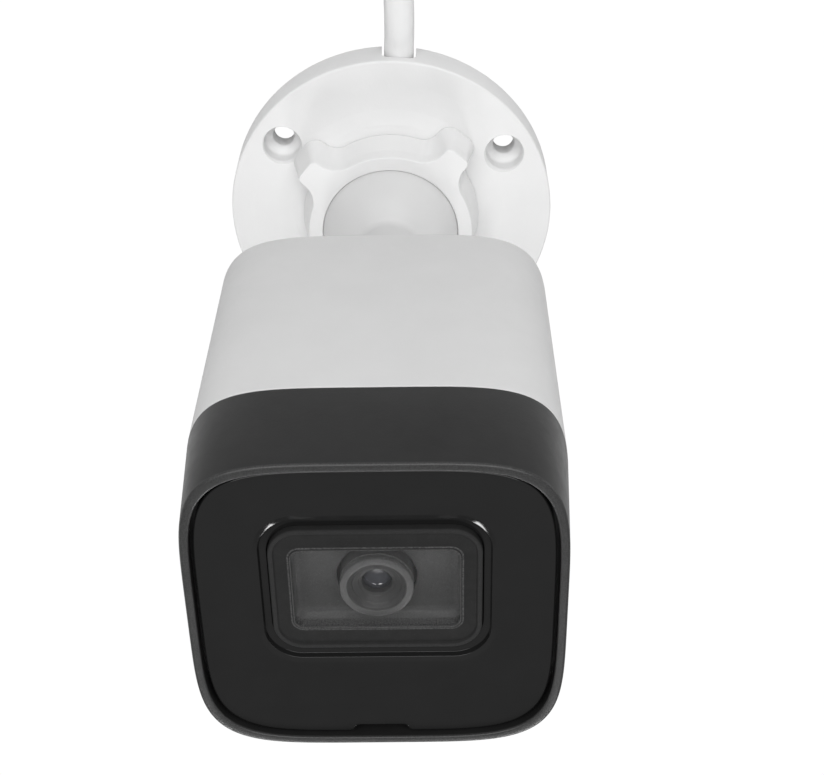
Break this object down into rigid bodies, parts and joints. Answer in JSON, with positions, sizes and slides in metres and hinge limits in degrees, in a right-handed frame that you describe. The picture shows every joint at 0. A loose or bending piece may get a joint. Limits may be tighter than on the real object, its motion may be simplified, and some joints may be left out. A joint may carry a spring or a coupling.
{
  "type": "security camera",
  "caption": "Outdoor bullet camera: rounded-square housing with a black front hood and window, on a ball joint with a lobed lock ring and a round base, with a cable pigtail.",
  "frame": {"origin": "centre of the mounting face of the round base", "axes": "+Z out of the mounting face, along the stem and the lens at rest; the cable leaves the base towards -Y"},
  "size_m": [0.1071, 0.2264, 0.145],
  "materials": {
    "white_paint": "white powder coat, satin",
    "grey_paint": "light grey paint, satin",
    "hood_plastic": "fine-grain black",
    "panel_plastic": "gloss black, passes infrared",
    "black_rubber": "matte",
    "mask_plastic": "spark-eroded grain, dark grey",
    "clear_glass": "clear, coated",
    "lens_glass": "coated",
    "lens_metal": "black anodised",
    "seat_plastic": "nylon, natural grey",
    "steel": "zinc plated",
    "brass": "turned",
    "board": "green solder mask",
    "chip": "black epoxy",
    "pad": "soft silicone",
    "chassis_metal": "die-cast, plain",
    "filter_glass": "blue-green coating",
    "led_dome": "clear epoxy over a yellow die",
    "connector": "natural nylon",
    "white_cable": "white PVC, satin",
    "black_cable": "black PVC, satin",
    "gold": "gold plated"
  },
  "bodies": {
    "base": {"base_plate": "white_paint", "pigtail_cable": "white_cable", "cable_coil": "white_cable", "cable_tail": "white_cable", "coil_tie": "black_cable", "cable_splitter": "white_cable", "network_lead": "white_cable", "network_socket": "white_cable", "socket_contacts": "gold", "power_lead": "black_cable", "power_socket": "black_cable", "power_pin": "steel"},
    "ring": {"lock_ring": "white_paint"},
    "seat": {"ball_seat": "seat_plastic"},
    "ball": {"ball_stem": "white_paint", "stem_seal": "black_rubber", "stem_washer": "steel", "stem_nut": "steel", "cable_grommet": "black_rubber", "stem_cable": "white_cable"},
    "camera": {"rear_cap": "grey_paint", "rear_seal": "black_rubber", "rear_cap_screws": "steel", "body_shell": "grey_paint", "chassis": "chassis_metal", "power_board": "board", "harness_plug": "connector", "inner_cable": "white_cable", "board_standoffs": "brass", "board_screws": "steel", "main_board": "board", "processor": "chip", "thermal_pad": "pad", "sensor_standoffs": "brass", "sensor_board": "board", "image_sensor": "chip", "lens_holder": "mask_plastic", "lens_barrel": "lens_metal", "lens_front_element": "lens_glass", "lens_rear_element": "lens_glass", "ir_board": "board", "ir_leds": "led_dome", "ir_board_screws": "steel", "lens_mask": "mask_plastic", "window_glass": "clear_glass", "window_gasket": "black_rubber", "front_plate": "panel_plastic", "hood_seal": "black_rubber", "hood_screws": "steel", "front_hood": "hood_plastic"},
    "filter": {"ir_cut_filter": "filter_glass"}
  },
  "joints": [
    {"name": "lock_ring_turn", "type": "hinge", "parent": "base", "child": "ring", "pos_m": [0, 0, 0.0145], "axis": [0, 0, 1], "range_deg": [0, 60]},
    {"name": "ball_pan", "type": "hinge", "parent": "base", "child": "seat", "pos_m": [0, 0, 0.0145], "axis": [0, 0, 1], "range_deg": [-180, 180]},
    {"name": "ball_tilt", "type": "hinge", "parent": "seat", "child": "ball", "pos_m": [0, 0, 0.0145], "axis": [1, 0, 0], "range_deg": [-35, 35]},
    {"name": "camera_roll", "type": "hinge", "parent": "ball", "child": "camera", "pos_m": [0, 0, 0.07], "axis": [0, 0, 1], "range_deg": [-180, 180]},
    {"name": "filter_slide", "type": "slide", "parent": "camera", "child": "filter", "axis": [1, 0, 0], "range_m": [0, 0.005]}
  ]
}
